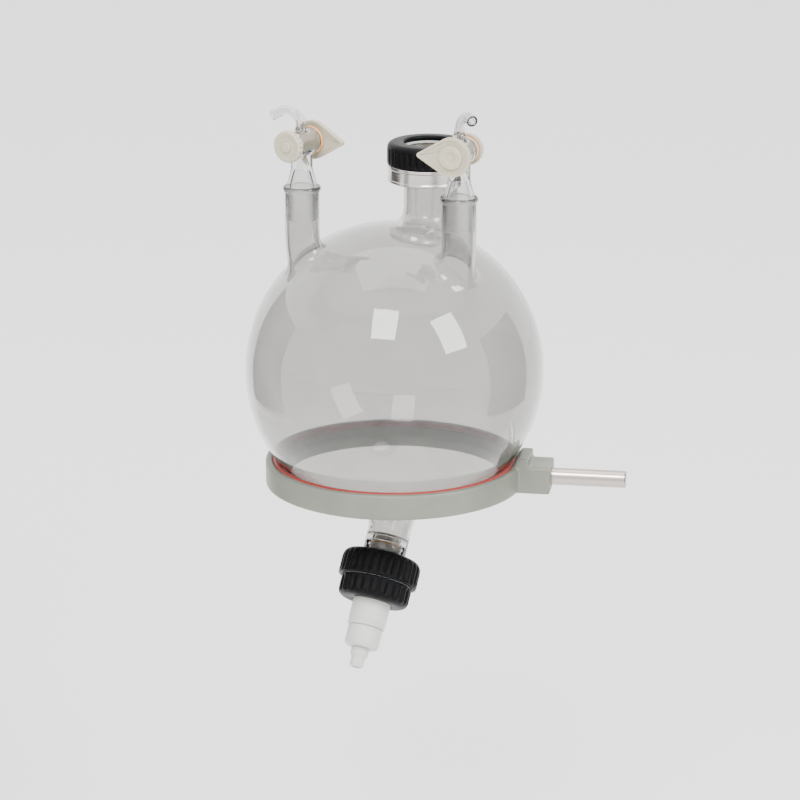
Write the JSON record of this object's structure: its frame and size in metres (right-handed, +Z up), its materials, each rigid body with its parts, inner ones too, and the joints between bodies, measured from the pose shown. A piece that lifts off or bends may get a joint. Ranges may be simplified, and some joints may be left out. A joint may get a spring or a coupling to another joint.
{
  "type": "separatory funnel",
  "caption": "Glass globe with feed neck, stopcocked side arms and a slanting screw drain valve, resting in a rod-held support ring.",
  "frame": {"origin": "on the support rod's axis, midway along its exposed length", "axes": "+X along the rod, away from the ring; +Z up; +Y completes the frame"},
  "size_m": [0.36, 0.2799, 0.5365],
  "materials": {
    "ring_paint": "satin hammered enamel",
    "gasket_red": "matt silicone",
    "rod_steel": "ground stainless",
    "screw_steel": "plain",
    "flask_glass": "clear, fire polished",
    "collar_steel": "polished",
    "ptfe_white": "machined, waxy",
    "nut_black": "moulded, satin",
    "stopcock_glass": "clear, ground cone frosted",
    "plug_cream": "moulded, waxy",
    "ring_orange": "matt silicone",
    "seal_black": "matt"
  },
  "bodies": {
    "support": {"support_ring": "ring_paint", "ring_gasket": "gasket_red", "support_rod": "rod_steel", "rod_set_screws": "screw_steel"},
    "flask": {"glass_flask": "flask_glass", "feed_collar": "collar_steel", "collar_split_liner": "ptfe_white", "feed_gasket": "ptfe_white", "drain_split_liner": "ptfe_white"},
    "feed_slip_ring": {"feed_thrust_washer": "ptfe_white"},
    "feed_nut": {"feed_nut": "nut_black"},
    "left_stopcock": {"left_stopcock_body": "stopcock_glass"},
    "left_plug": {"left_plug": "plug_cream", "left_plug_seal": "ring_orange", "left_plug_washer": "ptfe_white", "left_plug_o_ring": "ring_orange", "left_retaining_nut": "plug_cream"},
    "right_stopcock": {"right_stopcock_body": "stopcock_glass"},
    "right_plug": {"right_plug": "plug_cream", "right_plug_seal": "ring_orange", "right_plug_washer": "ptfe_white", "right_plug_o_ring": "ring_orange", "right_retaining_nut": "plug_cream"},
    "drain_nut": {"drain_union_nut": "nut_black"},
    "drain_valve": {"drain_gasket": "ptfe_white", "drain_valve_body": "ptfe_white", "gland_seals": "seal_black"},
    "handwheel": {"drain_handwheel": "nut_black", "handwheel_circlip": "screw_steel"},
    "spindle": {"drain_spindle": "ptfe_white", "spindle_tip_seal": "ring_orange", "spindle_key": "screw_steel", "outlet_adapter": "ptfe_white", "adapter_o_ring": "seal_black", "hose_nozzle": "ptfe_white"}
  },
  "joints": [
    {"name": "flask_lift", "type": "slide", "parent": "support", "child": "flask", "axis": [0, 0, 1], "range_m": [0, 0.18]},
    {"name": "feed_nut_lift", "type": "slide", "parent": "flask", "child": "feed_slip_ring", "axis": [0, 0, 1], "range_m": [0, 0.012]},
    {"name": "feed_nut_turn", "type": "hinge", "parent": "feed_slip_ring", "child": "feed_nut", "pos_m": [-0.16077, 0.05707, 0.294], "axis": [0, 0, 1], "range_deg": [0, 1080]},
    {"name": "left_stopcock_swivel", "type": "hinge", "parent": "flask", "child": "left_stopcock", "pos_m": [-0.26595, -0.03189, 0.279], "axis": [0, 0, 1], "continuous": true},
    {"name": "left_plug_turn", "type": "hinge", "parent": "left_stopcock", "child": "left_plug", "pos_m": [-0.26595, -0.03189, 0.319], "axis": [0.4226, 0.9063, 0], "continuous": true},
    {"name": "right_stopcock_swivel", "type": "hinge", "parent": "flask", "child": "right_stopcock", "pos_m": [-0.11691, -0.05416, 0.279], "axis": [0, 0, 1], "continuous": true},
    {"name": "right_plug_turn", "type": "hinge", "parent": "right_stopcock", "child": "right_plug", "pos_m": [-0.11691, -0.05416, 0.319], "axis": [-0.2419, -0.9703, 0], "continuous": true},
    {"name": "drain_nut_turn", "type": "hinge", "parent": "flask", "child": "drain_nut", "pos_m": [-0.19397, -0.03029, -0.09064], "axis": [0.1547, 0.5222, 0.8387], "range_deg": [0, 1440]},
    {"name": "drain_valve_draw", "type": "slide", "parent": "flask", "child": "drain_valve", "axis": [-0.1547, -0.5222, -0.8387], "range_m": [0, 0.012]},
    {"name": "handwheel_turn", "type": "hinge", "parent": "drain_valve", "child": "handwheel", "pos_m": [-0.19753, -0.0423, -0.10993], "axis": [-0.1547, -0.5222, -0.8387], "range_deg": [0, 900]},
    {"name": "spindle_travel", "type": "slide", "parent": "drain_valve", "child": "spindle", "axis": [-0.1547, -0.5222, -0.8387], "range_m": [0, 0.01]}
  ],
  "couplings": [
    {"joint": "feed_nut_lift", "follows": "feed_nut_turn", "m_per_rad": 0.00063662},
    {"joint": "drain_valve_draw", "follows": "drain_nut_turn", "m_per_rad": 0.00047746},
    {"joint": "spindle_travel", "follows": "handwheel_turn", "m_per_rad": 0.00063662}
  ]
}
